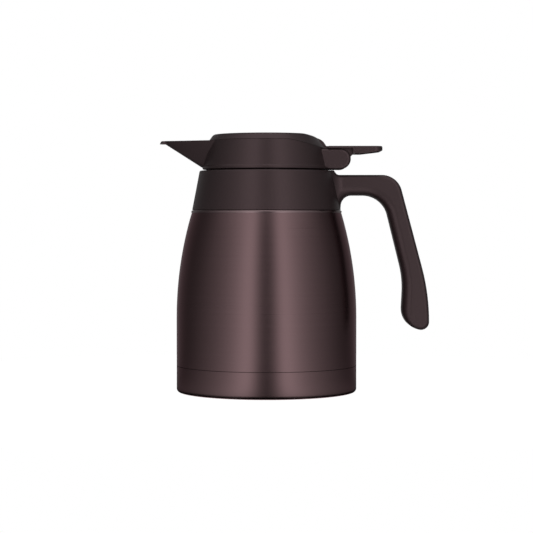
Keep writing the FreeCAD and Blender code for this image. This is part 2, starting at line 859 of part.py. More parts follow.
def spout_section(x, half_width, low_z, rounding, extra=0):
    """A closed section across the spout: straight sides down from the rim, tangent to a rounded keel.

    extra continues the sides above the rim by that height.
    """
    centre_z = low_z + rounding
    rise = spout_top_z - centre_z
    angle = math.atan2(rise, half_width) - math.acos(rounding / math.hypot(half_width, rise))
    side_y, side_z = rounding * math.cos(angle), centre_z + rounding * math.sin(angle)
    top_y = half_width + extra * (half_width - side_y) / (spout_top_z - side_z)
    top_z = spout_top_z + extra
    right, left = Vector(x, top_y, top_z), Vector(x, -top_y, top_z)
    right_low, left_low = Vector(x, side_y, side_z), Vector(x, -side_y, side_z)
    return Part.Wire([
        Part.LineSegment(left, left_low).toShape(),
        Part.Arc(left_low, Vector(x, 0, low_z), right_low).toShape(),
        Part.LineSegment(right_low, right).toShape(),
        Part.LineSegment(right, left).toShape(),
    ])


def spout_outside():
    """The outer form of the spout with its drooped lip."""
    prow = Part.makeLoft([
        spout_section(-spout_root_x, spout_root_half_width, spout_root_low_z, spout_root_round),
        spout_section(-spout_end_x, spout_end_half_width, spout_end_low_z, spout_end_round),
    ], True, True)
    lip = Part.makeCone(lip_low_radius, lip_top_radius, spout_top_z - lip_low_z, at(-lip_x, lip_low_z))
    return prow.fuse(lip)


def spout_channel():
    """The open channel of the spout, which runs from inside the head out through the lip."""
    run = spout_end_x - spout_root_x
    keel_slope = (spout_end_low_z - spout_root_low_z) / run
    side_slope = spout_root_half_width / (spout_top_z - spout_root_low_z)
    root_half = spout_root_half_width - spout_wall * math.hypot(1, side_slope)
    root_low = spout_root_low_z + spout_wall * math.hypot(1, keel_slope)
    end_low = spout_top_z - groove_depth
    widen = (root_half - groove_half_width) / run * overrun
    lower = (end_low - root_low) / run * overrun
    end = spout_section(-spout_end_x, groove_half_width, end_low, groove_round, overrun)
    channel = Part.makeLoft([
        spout_section(overrun - spout_root_x, root_half + widen, root_low - lower,
                      spout_root_round - spout_wall, overrun),
        end,
    ], True, True)
    return channel.fuse(Part.Face(end).extrude(Vector(-lip_low_radius - overrun, 0, 0)))


def head_bore():
    """The round space inside the head's ring, from its floor up past its top."""
    slope = (head_low_radius - head_top_radius) / (head_top_z - head_bottom_z)
    low_radius = head_low_radius - head_wall - slope * head_floor
    high_z = head_top_z + overrun
    high_radius = head_top_radius - head_wall - slope * overrun
    return turned([(0, head_floor_top_z, 0), (low_radius, head_floor_top_z, head_floor),
                   (high_radius, high_z, 0), (0, high_z, 0)])


def above_parting():
    """Everything above the parting line of the cover, which dips towards the rear."""
    far = body_radius + overrun
    return side_shape([
        (-far, head_top_z, 0),
        (parting_bend_x, head_top_z, parting_round),
        (parting_low_x, parting_low_z, 0),
        (far, parting_low_z, 0),
        (far, cover_top_z + overrun, 0),
        (-far, cover_top_z + overrun, 0),
    ], -far, far)


def lug(side):
    """A lug: a bar out of the ring, its end rounded about the pivot and its outer face's edge softened."""
    low_y, high_y = sorted([side * lug_inner_y, side * lug_outer_y])
    bar = block(lug_root_x, pivot_x, low_y, high_y, pivot_z - lug_radius, pivot_z + lug_radius)
    whole = bar.fuse(cross_pin(lug_radius, pivot_x, pivot_z, low_y, high_y)).removeSplitter()
    edges = []
    for edge in whole.Edges:
        box = edge.BoundBox
        if box.YLength < least_edge and box.XLength > least_edge and box.YMin * side > lug_inner_y:
            edges.append(edge)
    return whole.makeFillet(lug_edge_round, edges)


def pour_head():
    """The pouring head: ring, floor, spout and the two lugs of the lever."""
    far = body_radius + overrun
    ring_solid = turned([
        (tube_outer_radius + snug_clearance, head_bottom_z, 0),
        (head_low_radius + bead_depth, head_bottom_z, bead_depth),
        (head_low_radius + bead_depth, head_bottom_z + bead_height, bead_depth),
        (head_low_radius, head_bottom_z + bead_height + bead_depth, bead_depth),
        (head_top_radius, head_top_z, 0),
        (tube_outer_radius + snug_clearance, head_top_z, 0),
    ])
    below = block(-far, far, -far, far, spout_root_low_z - overrun, head_bottom_z)
    spout = spout_outside().cut(below)
    body = ring_solid.cut(above_parting()).fuse([spout, lug(-1), lug(1)])
    slot_half = arm_width / 2 + arm_slot_gap
    slot = block(head_top_radius - lug_radius, far, -slot_half, slot_half, lever_slot_low_z, cover_top_z)
    channel = spout_channel().cut(block(-far, far, -far, far, spout_root_low_z - overrun, head_floor_top_z))
    pin_hole = cross_pin(pin_radius, pivot_x, pivot_z, pin_blind_skin - lug_outer_y, lug_outer_y + overrun)
    return body.cut([head_bore(), channel, slot, pin_hole])


def lever_pin():
    """The pin of the lever, pushed in from one side into a blind hole."""
    return cross_pin(pin_radius, pivot_x, pivot_z, pin_blind_skin - lug_outer_y, lug_outer_y - pin_recess)


def thumb_lever():
    """The thumb lever: paddle, hub between the lugs and forked arm that lifts the stem's cap."""
    plate_under_z = lever_top_z - lever_plate
    profile = side_shape([
        (lever_top_start_x, lever_top_z, 0),
        (lever_end_x, lever_top_z, 0),
        (lever_end_x, paddle_end_low_z, lever_edge_round),
        (paddle_flat_end_x, paddle_low_z, paddle_wall),
        (paddle_start_x, paddle_low_z, 0),
        (paddle_start_x, plate_under_z, 0),
        (lever_top_start_x, plate_under_z, 0),
    ], -lug_outer_y, lug_outer_y)

    def plan(x, y):
        return Vector(x, y, paddle_low_z - overrun)

    plan_wire = rounded_wire([
        (lever_top_start_x, -lug_outer_y, lever_edge_round),
        (lever_end_x, -lug_outer_y, lever_end_round),
        (lever_end_x, lug_outer_y, lever_end_round),
        (lever_top_start_x, lug_outer_y, lever_edge_round),
    ], plan)
    height = lever_top_z - paddle_low_z + 2 * overrun
    paddle = profile.common(Part.Face(plan_wire).extrude(Vector(0, 0, height)))
    top_edges = [edge for edge in paddle.Edges if edge.BoundBox.ZMin > lever_top_z - least_edge]
    paddle = paddle.makeFillet(lever_edge_round, top_edges)
    hollow_wire = rounded_wire([
        (paddle_start_x + paddle_wall, -lug_outer_y + paddle_wall, lever_edge_round),
        (lever_end_x - paddle_wall, -lug_outer_y + paddle_wall, lever_end_round - paddle_wall),
        (lever_end_x - paddle_wall, lug_outer_y - paddle_wall, lever_end_round - paddle_wall),
        (paddle_start_x + paddle_wall, lug_outer_y - paddle_wall, lever_edge_round),
    ], plan)
    hollow = Part.Face(hollow_wire).extrude(Vector(0, 0, lever_top_z - paddle_wall - paddle_low_z + overrun))
    hub = cross_pin(hub_radius, pivot_x, pivot_z, -lever_half_width, lever_half_width)
    web = side_shape([
        (pivot_x - hub_radius, plate_under_z + lever_plate / 2, 0),
        (pivot_x - hub_radius, pivot_z, 0),
        (pivot_x, pivot_z - hub_radius, hub_radius / 2),
        (paddle_start_x + paddle_wall / 2, paddle_low_z, 0),
        (paddle_start_x + paddle_wall / 2, plate_under_z + lever_plate / 2, 0),
    ], -lever_half_width, lever_half_width)
    arm = side_shape([
        (pivot_x, arm_low_z - finger_radius, 0),
        (pivot_x, pivot_z + finger_radius, 0),
        (0, pivot_z + finger_radius, 0),
        (0, pivot_z - finger_radius, 0),
        (head_top_radius - lug_radius, arm_low_z - finger_radius, finger_radius),
    ], -arm_width / 2, arm_width / 2)
    finger = cross_pin(finger_radius, 0, pivot_z, -arm_width / 2, arm_width / 2)
    half_gap = finger_gap / 2
    fork_slot = block(-overrun, fork_depth, -half_gap, half_gap, arm_low_z - overrun, lever_top_z)
    bore = cross_pin(pin_radius + running_clearance, pivot_x, pivot_z, -lug_outer_y, lug_outer_y)
    return paddle.cut(hollow).fuse([web, hub, arm, finger]).cut([fork_slot, bore])


def scoop_top(drop):
    """Everything below the cover's top line lowered by drop, flat in front and falling at the rear."""
    far = body_radius + overrun
    start = at(scoop_start_x, cover_top_z - drop)
    middle = at(scoop_mid_x - drop / 2, scoop_mid_z - drop)
    end = at(parting_low_x, scoop_end_z - drop)
    edges = [
        Part.LineSegment(at(-far, cover_top_z - drop), start).toShape(),
        Part.Arc(start, middle, end).toShape(),
        Part.LineSegment(end, at(far, scoop_end_z - drop)).toShape(),
        Part.LineSegment(at(far, scoop_end_z - drop), at(far, parting_low_z - overrun)).toShape(),
        Part.LineSegment(at(far, parting_low_z - overrun), at(-far, parting_low_z - overrun)).toShape(),
        Part.LineSegment(at(-far, parting_low_z - overrun), at(-far, cover_top_z - drop)).toShape(),
    ]
    return side_prism(Part.Wire(edges), -far, far)


def top_cover():
    """The cover of the head: a low cap with a slanted edge, scooped at the rear down to the lever."""
    slope = (head_low_radius - head_top_radius) / (head_top_z - head_bottom_z)
    low_z = parting_low_z - head_wall
    low_radius = head_top_radius + slope * (head_top_z - low_z)
    outside = turned([
        (0, low_z, 0),
        (low_radius, low_z, 0),
        (head_top_radius, head_top_z, 0),
        (cover_flange_radius, head_top_z + cover_flange_rise, 0),
        (cover_shoulder_radius, cover_shoulder_z, cover_edge_round),
        (0, cover_top_z, 0),
    ]).common(above_parting()).common(scoop_top(0))
    inside = turned([
        (0, low_z - overrun, 0),
        (low_radius - head_wall, low_z - overrun, 0),
        (head_inner_top_radius, head_top_z, 0),
        (cover_shoulder_radius - cover_wall, cover_shoulder_z - cover_wall, cover_edge_round),
        (0, cover_top_z - cover_wall, 0),
    ]).common(scoop_top(cover_wall))
    skirt_radius = head_inner_top_radius - free_clearance
    skirt_low_z = head_top_z - cover_skirt_depth
    skirt = ring(skirt_radius - cover_skirt_wall, skirt_radius, skirt_low_z, cover_shoulder_z)
    skirt = skirt.common(scoop_top(cover_wall / 2))
    spout_clear = block(-body_radius, 0, -spout_root_half_width, spout_root_half_width,
                        skirt_low_z - overrun, head_top_z)
    lever_clear = block(0, body_radius, -lug_outer_y, lug_outer_y, skirt_low_z - overrun, cover_top_z)
    return outside.cut(inside).fuse(skirt.cut(spout_clear).cut(lever_clear))


PIECES = {
    "outer_shell": outer_shell,
    "base_cup": base_cup,
    "vacuum_seal_plug": vacuum_seal_plug,
    "getter": getter,
    "inner_vessel": inner_vessel,
    "radiation_foil": radiation_foil,
    "neck_ring": neck_ring,
    "neck_seal": neck_seal,
    "collar_and_handle": collar_and_handle,
    "handle_inner_cover": handle_inner_cover,
    "stopper_gasket": stopper_gasket,
    "stopper_cup": stopper_cup,
    "pour_tube": pour_tube,
    "stopper_foam": stopper_foam,
    "pour_head": pour_head,
    "top_cover": top_cover,
    "lever_pin": lever_pin,
    "stem_guide": stem_guide,
    "thumb_lever": thumb_lever,
    "valve_poppet": valve_poppet,
    "valve_gasket": valve_gasket,
    "valve_stem": valve_stem,
    "stem_cap": stem_cap,
    "valve_spring": valve_spring,
}

os.makedirs("parts", exist_ok=True)
for piece_name, make_piece in PIECES.items():
    piece = make_piece()
    print(piece_name, len(piece.Solids), piece.isValid(), round(piece.Volume, 1))
    save(piece_name, piece)
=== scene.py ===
"""Dresses the vacuum jug: brushed brown steel, satin moulded plastic and a plain white studio."""

import logging
import math
from dataclasses import dataclass, field
from enum import Enum
from functools import partial

import bmesh
import bpy
from bmesh.types import BMesh
from bpy.types import Material, Node, NodeSocket, NodeTree, Object
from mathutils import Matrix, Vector


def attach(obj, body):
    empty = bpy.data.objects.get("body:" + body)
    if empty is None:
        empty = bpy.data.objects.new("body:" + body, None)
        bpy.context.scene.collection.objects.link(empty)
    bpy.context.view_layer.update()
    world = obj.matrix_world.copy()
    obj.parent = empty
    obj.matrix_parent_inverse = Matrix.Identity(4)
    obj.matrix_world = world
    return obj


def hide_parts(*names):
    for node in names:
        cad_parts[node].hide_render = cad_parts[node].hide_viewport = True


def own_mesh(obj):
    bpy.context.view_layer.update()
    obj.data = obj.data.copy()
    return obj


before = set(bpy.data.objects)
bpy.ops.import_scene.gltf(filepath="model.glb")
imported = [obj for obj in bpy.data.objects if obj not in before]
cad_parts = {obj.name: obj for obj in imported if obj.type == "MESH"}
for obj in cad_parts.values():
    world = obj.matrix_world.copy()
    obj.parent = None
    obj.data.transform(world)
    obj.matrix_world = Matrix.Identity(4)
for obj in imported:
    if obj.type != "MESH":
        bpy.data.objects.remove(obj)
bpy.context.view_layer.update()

log = logging.getLogger("vacuum_jug")

MM = 0.001
HALF_TURN = 180.0

# The Mix node's sockets for colours, whose names its other sockets share
MIX_SHARE, MIX_LOW, MIX_HIGH, MIX_RESULT = 0, 6, 7, 2

Colour = tuple[float, float, float]
Outline = tuple[tuple[float, float], ...]


class Brushing(Enum):
    """Which way the fine lines of a brushed surface run: how much each axis of its pattern is squeezed."""

    ROUND_THE_JUG = (3.0, 3.0, 900.0)
    ROUND_THE_PIN = (30.0, 900.0, 30.0)
    ALONG_THE_WIRE = (200.0, 200.0, 40.0)


def arithmetic(tree: NodeTree, kind: str, *values: NodeSocket | float) -> NodeSocket:
    """Places one step of arithmetic.

    Args:
        tree: the node tree that the step is in.
        kind: the Math node's operation.
        values: its inputs, each a socket or a number.

    Returns:
        The socket with the result.
    """
    node = tree.nodes.new("ShaderNodeMath")
    node.operation = kind
    for number, value in enumerate(values):
        if isinstance(value, float):
            node.inputs[number].default_value = value
        else:
            tree.links.new(value, node.inputs[number])
    return node.outputs[0]


def ranged(tree: NodeTree, value: NodeSocket, limits: dict[str, float], kind: str = "LINEAR") -> NodeSocket:
    """Moves a value from one range into another and keeps it inside.

    Args:
        tree: the node tree that the step is in.
        value: the value.
        limits: the ranges' ends that aren't 0 and 1, by the names of their sockets.
        kind: the Map Range node's interpolation.

    Returns:
        The socket with the result.
    """
    node = tree.nodes.new("ShaderNodeMapRange")
    node.interpolation_type = kind
    for label, limit in limits.items():
        node.inputs[label].default_value = limit
    tree.links.new(value, node.inputs["Value"])
    return node.outputs["Result"]


def mixed(tree: NodeTree, share: NodeSocket, low: NodeSocket | Colour,
          high: NodeSocket | Colour) -> NodeSocket:
    """Mixes two colours.

    Args:
        tree: the node tree that the step is in.
        share: a value from 0 to 1.
        low: the linear colour at 0, or its socket.
        high: the linear colour at 1, or its socket.

    Returns:
        The socket with the mixed colour.
    """
    node = tree.nodes.new("ShaderNodeMix")
    node.data_type = "RGBA"
    tree.links.new(share, node.inputs[MIX_SHARE])
    for number, colour in ((MIX_LOW, low), (MIX_HIGH, high)):
        if isinstance(colour, tuple):
            node.inputs[number].default_value = (*colour, 1.0)
        else:
            tree.links.new(colour, node.inputs[number])
    return node.outputs[MIX_RESULT]


class NodeGroups:
    """The shader node groups that several finishes share, each built once."""

    STREAK_RANGE: dict[str, float] = {"From Min": 0.3, "From Max": 0.7}
    RIDGE_RANGE: dict[str, float] = {"From Min": -0.3, "From Max": 0.6}
    THREAD_STARTS: float = 4.0
    WALL_TOLERANCE: float = 0.0002

    def __init__(self) -> None:
        """Starts with no group built."""
        self.built: dict[str, NodeTree] = {}

    def start(self, name: str, values: dict[str, float],
              results: tuple[str, ...]) -> tuple[NodeTree, Node, Node]:
        """Makes an empty group that reads coordinates and numbers and puts out numbers.

        Args:
            name: the group's name.
            values: the numbers that it reads, with their first values.
            results: the numbers that it puts out.

        Returns:
            The group, its input node and its output node.
        """
        group = bpy.data.node_groups.new(name, "ShaderNodeTree")
        group.interface.new_socket("Vector", in_out="INPUT", socket_type="NodeSocketVector")
        for label, value in values.items():
            socket = group.interface.new_socket(label, in_out="INPUT", socket_type="NodeSocketFloat")
            socket.default_value = value
        for label in results:
            group.interface.new_socket(label, in_out="OUTPUT", socket_type="NodeSocketFloat")
        self.built[name] = group
        return group, group.nodes.new("NodeGroupInput"), group.nodes.new("NodeGroupOutput")

    def noise(self, group: NodeTree, entry: Node, scale: str, detail: float,
              roughness: float = 0.5) -> NodeSocket:
        """Places a noise that reads the group's coordinates.

        Args:
            group: the group.
            entry: its input node.
            scale: the name of the input with the noise's scale.
            detail: how many finer layers the noise has.
            roughness: how strong these are.

        Returns:
            The socket with the noise.
        """
        node = group.nodes.new("ShaderNodeTexNoise")
        node.inputs["Detail"].default_value = detail
        node.inputs["Roughness"].default_value = roughness
        group.links.new(entry.outputs["Vector"], node.inputs["Vector"])
        group.links.new(entry.outputs[scale], node.inputs["Scale"])
        return node.outputs["Fac"]

    def brush_lines(self) -> NodeTree:
        """Fine parallel lines and wider streaks from coordinates that are already stretched.

        Returns:
            A group that puts out Height, for a bump, and Streak, a mask from 0 to 1.
        """
        if "brush_lines" in self.built:
            return self.built["brush_lines"]
        values = {"Fine Scale": 4.0, "Streak Scale": 0.5}
        group, entry, leave = self.start("brush_lines", values, ("Height", "Streak"))
        fine = self.noise(group, entry, "Fine Scale", detail=3.0, roughness=0.7)
        wide = self.noise(group, entry, "Streak Scale", detail=4.0, roughness=0.65)
        group.links.new(fine, leave.inputs["Height"])
        group.links.new(ranged(group, wide, self.STREAK_RANGE), leave.inputs["Streak"])
        return group

    def mould_grain(self) -> NodeTree:
        """The fine even texture of a spark-eroded mould, with slow changes of gloss.

        Returns:
            A group that puts out Height, for a bump, and Gloss, a mask from 0 to 1.
        """
        if "mould_grain" in self.built:
            return self.built["mould_grain"]
        values = {"Grain Scale": 3500.0, "Gloss Scale": 28.0}
        group, entry, leave = self.start("mould_grain", values, ("Height", "Gloss"))
        group.links.new(self.noise(group, entry, "Grain Scale", detail=2.0), leave.inputs["Height"])
        group.links.new(self.noise(group, entry, "Gloss Scale", detail=3.0), leave.inputs["Gloss"])
        return group

    def screw_thread(self) -> NodeTree:
        """The ridges of a screw thread with several starts, on a round wall about the jug's axis.

        Returns:
            A group that puts out Height, for a bump: 1 on a ridge, 0 between ridges and off the wall.
        """
        if "screw_thread" in self.built:
            return self.built["screw_thread"]
        values = {"Radius": 0.03, "Low": 0.0, "High": 0.01, "Pitch": 0.003}
        group, entry, leave = self.start("screw_thread", values, ("Height",))
        split = group.nodes.new("ShaderNodeSeparateXYZ")
        group.links.new(entry.outputs["Vector"], split.inputs[0])
        across, deep, up = split.outputs
        work = partial(arithmetic, group)
        turns = work("MULTIPLY", work("ARCTAN2", deep, across), self.THREAD_STARTS)
        rise = work("MULTIPLY", work("DIVIDE", up, entry.outputs["Pitch"]), 2.0 * math.pi)
        ridge = ranged(group, work("SINE", work("SUBTRACT", rise, turns)), self.RIDGE_RANGE, "SMOOTHSTEP")
        radius = work("SQRT", work("ADD", work("POWER", across, 2.0), work("POWER", deep, 2.0)))
        on_wall = work("COMPARE", radius, entry.outputs["Radius"], self.WALL_TOLERANCE)
        above = work("GREATER_THAN", up, entry.outputs["Low"])
        below = work("LESS_THAN", up, entry.outputs["High"])
        mask = work("MULTIPLY", on_wall, work("MULTIPLY", above, below))
        group.links.new(work("MULTIPLY", ridge, mask), leave.inputs["Height"])
        return group


class Finish:
    """What every finish does: it builds its material round a pattern of its own.

    The pattern's mask moves the tint and the roughness between two limits, and its relief bends the normal.
    """

    name: str
    dark: Colour
    light: Colour
    least_roughness: float
    most_roughness: float
    groups: NodeGroups = NodeGroups()
    made: dict[str, Material] = {}

    def finished(self) -> Material:
        """Builds the material when it is first asked for.

        Returns:
            The one material of this name.
        """
        if self.name not in Finish.made:
            Finish.made[self.name] = self.material()
        return Finish.made[self.name]

    def material(self) -> Material:
        """Builds the material.

        Returns:
            The material, with one shader.
        """
        material = bpy.data.materials.new(self.name)
        material.use_nodes = True
        tree = material.node_tree
        shader = tree.nodes["Principled BSDF"]
        mask, normal = self.pattern(tree)
        roughness = ranged(tree, mask, {"To Min": self.least_roughness, "To Max": self.most_roughness})
        tree.links.new(mixed(tree, mask, self.dark, self.light), shader.inputs["Base Color"])
        tree.links.new(roughness, shader.inputs["Roughness"])
        tree.links.new(normal, shader.inputs["Normal"])
        for label, value in self.constants().items():
            shader.inputs[label].default_value = value
        return material

    def pattern(self, tree: NodeTree) -> tuple[NodeSocket, NodeSocket]:
        """Places the pattern, which each kind of finish has of its own.

        Args:
            tree: the material's node tree.

        Returns:
            The sockets with the mask, from 0 to 1, and with the normal.
        """
        raise NotImplementedError

    def constants(self) -> dict[str, float | tuple[float, ...]]:
        """The shader's values that the pattern doesn't move, by their sockets' names."""
        return {}

    def place_group(self, tree: NodeTree, group: NodeTree, values: dict[str, float],
                    stretch: tuple[float, float, float] = (1.0, 1.0, 1.0)) -> Node:
        """Places a shared group that reads the object's coordinates.

        Args:
            tree: the material's node tree.
            group: the shared group.
            values: the values of its other inputs.
            stretch: how much each axis is scaled.

        Returns:
            The group's node.
        """
        place = tree.nodes.new("ShaderNodeTexCoord")
        mapping = tree.nodes.new("ShaderNodeMapping")
        mapping.inputs["Scale"].default_value = stretch
        tree.links.new(place.outputs["Object"], mapping.inputs["Vector"])
        node = tree.nodes.new("ShaderNodeGroup")
        node.node_tree = group
        tree.links.new(mapping.outputs["Vector"], node.inputs["Vector"])
        for label, value in values.items():
            node.inputs[label].default_value = value
        return node

    def emboss(self, tree: NodeTree, height: NodeSocket, depth: float,
               under: NodeSocket | None = None) -> NodeSocket:
        """Turns a height into a bumped normal.

        Args:
            tree: the material's node tree.
            height: a value from 0 to 1.
            depth: how deep the relief is, in metres.
            under: the normal of a coarser relief that this one lies on.

        Returns:
            The socket with the normal.
        """
        bump = tree.nodes.new("ShaderNodeBump")
        bump.inputs["Strength"].default_value = 1.0
        bump.inputs["Distance"].default_value = depth
        tree.links.new(height, bump.inputs["Height"])
        if under is not None:
            tree.links.new(under, bump.inputs["Normal"])
        return bump.outputs["Normal"]


@dataclass(frozen=True)
class BrushedSteel(Finish):
    """Steel brushed in one direction, bare or under a brown glaze."""

    name: str
    dark: Colour
    light: Colour
    brushing: Brushing = Brushing.ROUND_THE_JUG
    least_roughness: float = 0.27
    most_roughness: float = 0.31
    anisotropy: float = 0.65
    anisotropy_turn: float = 0.25
    grazing_tint: Colour = (1.0, 1.0, 1.0)
    line_depth: float = 0.0000012

    def pattern(self, tree: NodeTree) -> tuple[NodeSocket, NodeSocket]:
        """The mask of the brushing's streaks and the normal of its fine lines."""
        lines = self.place_group(tree, self.groups.brush_lines(), {}, self.brushing.value)
        return lines.outputs["Streak"], self.emboss(tree, lines.outputs["Height"], self.line_depth)

    def constants(self) -> dict[str, float | tuple[float, ...]]:
        """The values that make the shader a brushed metal."""
        return {
            "Metallic": 1.0,
            "Anisotropic": self.anisotropy,
            "Anisotropic Rotation": self.anisotropy_turn,
            "Specular Tint": (*self.grazing_tint, 1.0),
        }


@dataclass(frozen=True)
class MouldedPlastic(Finish):
    """Satin moulded plastic or rubber, with the grain of its mould."""

    name: str
    dark: Colour
    light: Colour
    least_roughness: float = 0.34
    most_roughness: float = 0.40
    grain_scale: float = 3500.0
    grain_depth: float = 0.000006
    sheen_tint: Colour = (1.0, 1.0, 1.0)
    sheen_level: float = 0.5

    def relief(self, tree: NodeTree) -> NodeSocket | None:
        """The normal of a relief coarser than the grain, or None where there is none."""
        return None

    def pattern(self, tree: NodeTree) -> tuple[NodeSocket, NodeSocket]:
        """Places the grain.

        Args:
            tree: the material's node tree.

        Returns:
            The sockets with the mask of the gloss and with the grain's normal.
        """
        grain = self.place_group(tree, self.groups.mould_grain(), {"Grain Scale": self.grain_scale})
        normal = self.emboss(tree, grain.outputs["Height"], self.grain_depth, self.relief(tree))
        return grain.outputs["Gloss"], normal

    def constants(self) -> dict[str, float | tuple[float, ...]]:
        """The values of the sheen."""
        return {"Specular IOR Level": self.sheen_level, "Specular Tint": (*self.sheen_tint, 1.0)}


@dataclass(frozen=True)
class ThreadedPlastic(MouldedPlastic):
    """Moulded plastic with a screw thread on one round wall of the piece. Lengths are in metres."""

    thread_radius: float = 0.0367
    thread_low_z: float = 0.1740
    thread_high_z: float = 0.1835
    thread_pitch: float = 0.0034
    thread_depth: float = 0.0007

    def relief(self, tree: NodeTree) -> NodeSocket:
        """Places the thread.

        Args:
            tree: the material's node tree.

        Returns:
            The socket with the thread's normal.
        """
        thread = self.place_group(tree, self.groups.screw_thread(), {
            "Radius": self.thread_radius,
            "Low": self.thread_low_z,
            "High": self.thread_high_z,
            "Pitch": self.thread_pitch,
        })
        return self.emboss(tree, thread.outputs["Height"], self.thread_depth)


@dataclass(frozen=True)
class CrinkledFoil(Finish):
    """Thin metal foil with the creases of its wrapping."""

    name: str
    dark: Colour
    light: Colour
    least_roughness: float = 0.12
    most_roughness: float = 0.22
    crease_scale: float = 130.0
    crease_depth: float = 0.0006

    def pattern(self, tree: NodeTree) -> tuple[NodeSocket, NodeSocket]:
        """The mask of the gloss and the normal of the creases."""
        creases = self.place_group(tree, self.groups.mould_grain(), {"Grain Scale": self.crease_scale})
        return creases.outputs["Gloss"], self.emboss(tree, creases.outputs["Height"], self.crease_depth)

    def constants(self) -> dict[str, float | tuple[float, ...]]:
        """The value that makes the shader a metal."""
        return {"Metallic": 1.0}


BROWN_STEEL = BrushedSteel("brown_brushed_steel", (0.180, 0.114, 0.120), (0.188, 0.120, 0.126),
                           grazing_tint=(0.85, 0.68, 0.71))
# A lighter copy of the brown steel for the shell's rolled edge: a painted highlight along the lip.
EDGE_HIGHLIGHT_STEEL = BrushedSteel("rolled_edge_highlight_steel", (0.235, 0.165, 0.172), (0.255, 0.180, 0.188))
# Near-black steel for the ring in the seam above the base: painted shade of the seam's groove, with darkened
# reflections.
SEAM_SHADE_STEEL = BrushedSteel("seam_shade_steel", (0.016, 0.009, 0.010), (0.024, 0.014, 0.015),
                          least_roughness=0.5, most_roughness=0.6, anisotropy=0.0,
                          grazing_tint=(0.2, 0.15, 0.15))
BARE_STEEL = BrushedSteel("plain_steel", (0.55, 0.54, 0.53), (0.64, 0.63, 0.62))
PIN_STEEL = BrushedSteel("turned_pin_steel", (0.55, 0.54, 0.53), (0.64, 0.63, 0.62), Brushing.ROUND_THE_PIN)
SPRING_STEEL = BrushedSteel("spring_wire_steel", (0.48, 0.47, 0.46), (0.60, 0.59, 0.58),
                            Brushing.ALONG_THE_WIRE, least_roughness=0.2, most_roughness=0.3, anisotropy=0.2)
FOIL = CrinkledFoil("foil", (0.72, 0.48, 0.36), (0.84, 0.58, 0.45))
PLASTIC_LOOK: dict[str, Colour | float] = {
    "dark": (0.0172, 0.0115, 0.0121),
    "light": (0.0190, 0.0128, 0.0134),
    "sheen_tint": (1.0, 0.70, 0.74),
    "sheen_level": 0.7,
}
DARK_PLASTIC = MouldedPlastic("dark_satin_plastic", **PLASTIC_LOOK)
STOPPER_PLASTIC = ThreadedPlastic("stopper_plastic", **PLASTIC_LOOK)
COLLAR_PLASTIC = ThreadedPlastic("collar_plastic", **PLASTIC_LOOK, thread_radius=0.0370)
SILICONE = MouldedPlastic("silicone", (0.68, 0.68, 0.66), (0.74, 0.74, 0.72), least_roughness=0.5,
                          most_roughness=0.6)
FOAM = MouldedPlastic("foam", (0.80, 0.79, 0.75), (0.88, 0.87, 0.83), least_roughness=0.8,
                      most_roughness=0.95, grain_scale=900.0, grain_depth=0.0002)


@dataclass(frozen=True)
class GreyStep:
    """One step of the graded card: its angle from the camera's direction and its brightness there."""

    angle: float
    level: float


